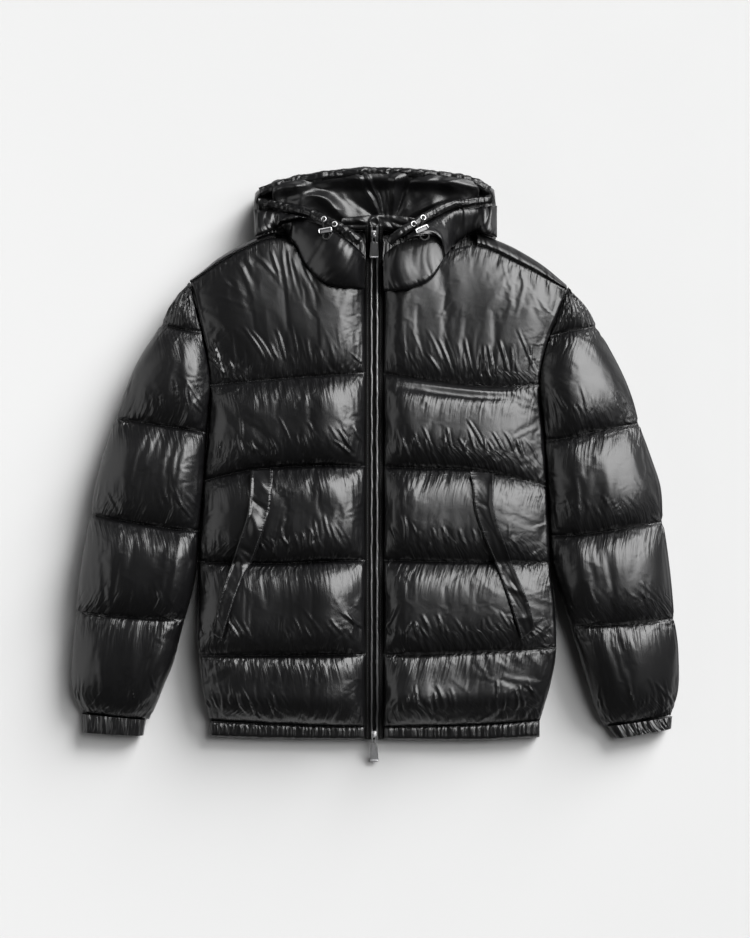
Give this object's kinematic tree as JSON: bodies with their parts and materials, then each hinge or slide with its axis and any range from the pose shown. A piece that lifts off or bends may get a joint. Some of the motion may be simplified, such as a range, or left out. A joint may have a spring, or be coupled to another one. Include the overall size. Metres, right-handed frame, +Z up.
{
  "type": "hooded puffer jacket",
  "caption": "Quilted hooded down jacket laid flat and zipped up, with a two-way zip, slanted pockets, gathered hem and cuffs, and a hood pushed down into a bowl.",
  "frame": {"origin": "on the surface the jacket lies on, under the middle of the whole laid-out jacket", "axes": "+Z up out of the jacket's front, +Y from the hem towards the hood, +X from the wearer's right sleeve to the wearer's left sleeve"},
  "size_m": [0.886, 0.8633, 0.0972],
  "materials": {
    "shell": "glossy coated nylon",
    "lining": "shiny nylon",
    "tape": "woven tape, matt",
    "piping": "glossy coated cloth",
    "metal": "dark satin",
    "bright_metal": "polished",
    "lock": "dark satin",
    "cord": "braided, matt"
  },
  "bodies": {
    "jacket": {"back": "shell", "front_right": "shell", "front_left": "shell", "sleeve_top_right": "shell", "sleeve_top_left": "shell", "sleeve_under_right": "shell", "sleeve_under_left": "shell", "yoke_right": "shell", "yoke_left": "shell", "welt_right": "shell", "welt_left": "shell", "hem_right": "shell", "hem_left": "shell", "hem_back": "shell", "cuff_right": "shell", "cuff_left": "shell", "hood_crown": "shell", "hood_side_right": "shell", "hood_side_left": "shell", "chin_right": "shell", "chin_left": "shell", "casing_top": "shell", "casing_right": "shell", "casing_left": "shell", "hood_lining": "lining", "hood_facing": "lining", "zip_tape_right": "tape", "zip_tape_left": "tape", "zip_piping_right": "piping", "zip_piping_left": "piping", "slider_top": "metal", "slider_bottom": "metal", "eyelet_right_outer": "bright_metal", "eyelet_right_inner": "bright_metal", "eyelet_left_outer": "bright_metal", "eyelet_left_inner": "bright_metal", "lock_bar_right": "bright_metal", "lock_bar_left": "bright_metal", "cord_lock_right": "lock", "cord_lock_left": "lock", "cord_right": "cord", "cord_left": "cord"},
    "pull_tab_top": {"pull_top": "metal"},
    "pull_tab_bottom": {"pull_bottom": "metal"}
  },
  "joints": [
    {"name": "pull_top_hinge", "type": "hinge", "parent": "jacket", "child": "pull_tab_top", "pos_m": [-0.0014, 0.32922, 0.08937], "axis": [-1, 0, 0], "range_deg": [0, 120]},
    {"name": "pull_bottom_hinge", "type": "hinge", "parent": "jacket", "child": "pull_tab_bottom", "pos_m": [-0.0014, -0.39099, 0.02342], "axis": [-1, 0, 0], "range_deg": [0, 120]}
  ]
}
